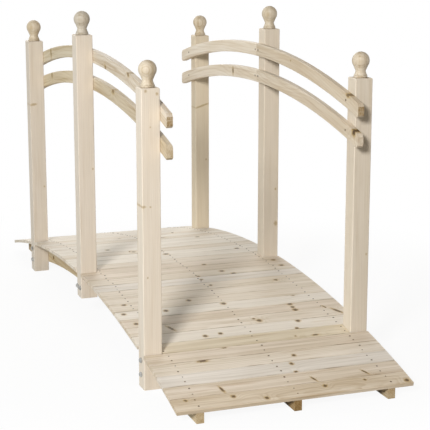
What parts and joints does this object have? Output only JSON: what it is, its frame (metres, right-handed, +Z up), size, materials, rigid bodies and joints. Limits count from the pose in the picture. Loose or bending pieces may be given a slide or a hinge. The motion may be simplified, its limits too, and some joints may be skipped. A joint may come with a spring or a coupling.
{
  "type": "arched wooden garden footbridge",
  "caption": "Low arched garden footbridge in plain fir: sawn arch stringers, a cross-boarded deck, square posts with turned ball finials and pairs of arched rails.",
  "frame": {"origin": "on the ground under the middle of the bridge", "axes": "+X across the deck to the right, +Y along the span from the front end, +Z up"},
  "size_m": [0.778, 2.287, 1.134],
  "materials": {
    "fir_boards": "matte",
    "fir_stringers": "matte",
    "fir_posts": "matte",
    "fir_rails": "matte",
    "turned_fir": "matte",
    "zinc_steel": "satin"
  },
  "bodies": {
    "root": {"back_left_post": "fir_posts", "back_right_post": "fir_posts", "deck_boards_01": "fir_boards", "deck_boards_02": "fir_boards", "deck_boards_03": "fir_boards", "deck_boards_04": "fir_boards", "deck_boards_05": "fir_boards", "deck_boards_06": "fir_boards", "deck_boards_07": "fir_boards", "deck_boards_08": "fir_boards", "deck_boards_09": "fir_boards", "deck_boards_10": "fir_boards", "deck_boards_11": "fir_boards", "deck_boards_12": "fir_boards", "deck_boards_13": "fir_boards", "deck_boards_14": "fir_boards", "deck_boards_15": "fir_boards", "deck_boards_16": "fir_boards", "deck_boards_17": "fir_boards", "front_left_post": "fir_posts", "front_right_post": "fir_posts", "left_finials": "turned_fir", "left_lower_rail": "fir_rails", "left_stringer": "fir_stringers", "left_upper_rail": "fir_rails", "middle_left_post": "fir_posts", "middle_right_post": "fir_posts", "middle_stringer": "fir_stringers", "right_finials": "turned_fir", "right_lower_rail": "fir_rails", "right_stringer": "fir_stringers", "right_upper_rail": "fir_rails"}
  },
  "joints": []
}
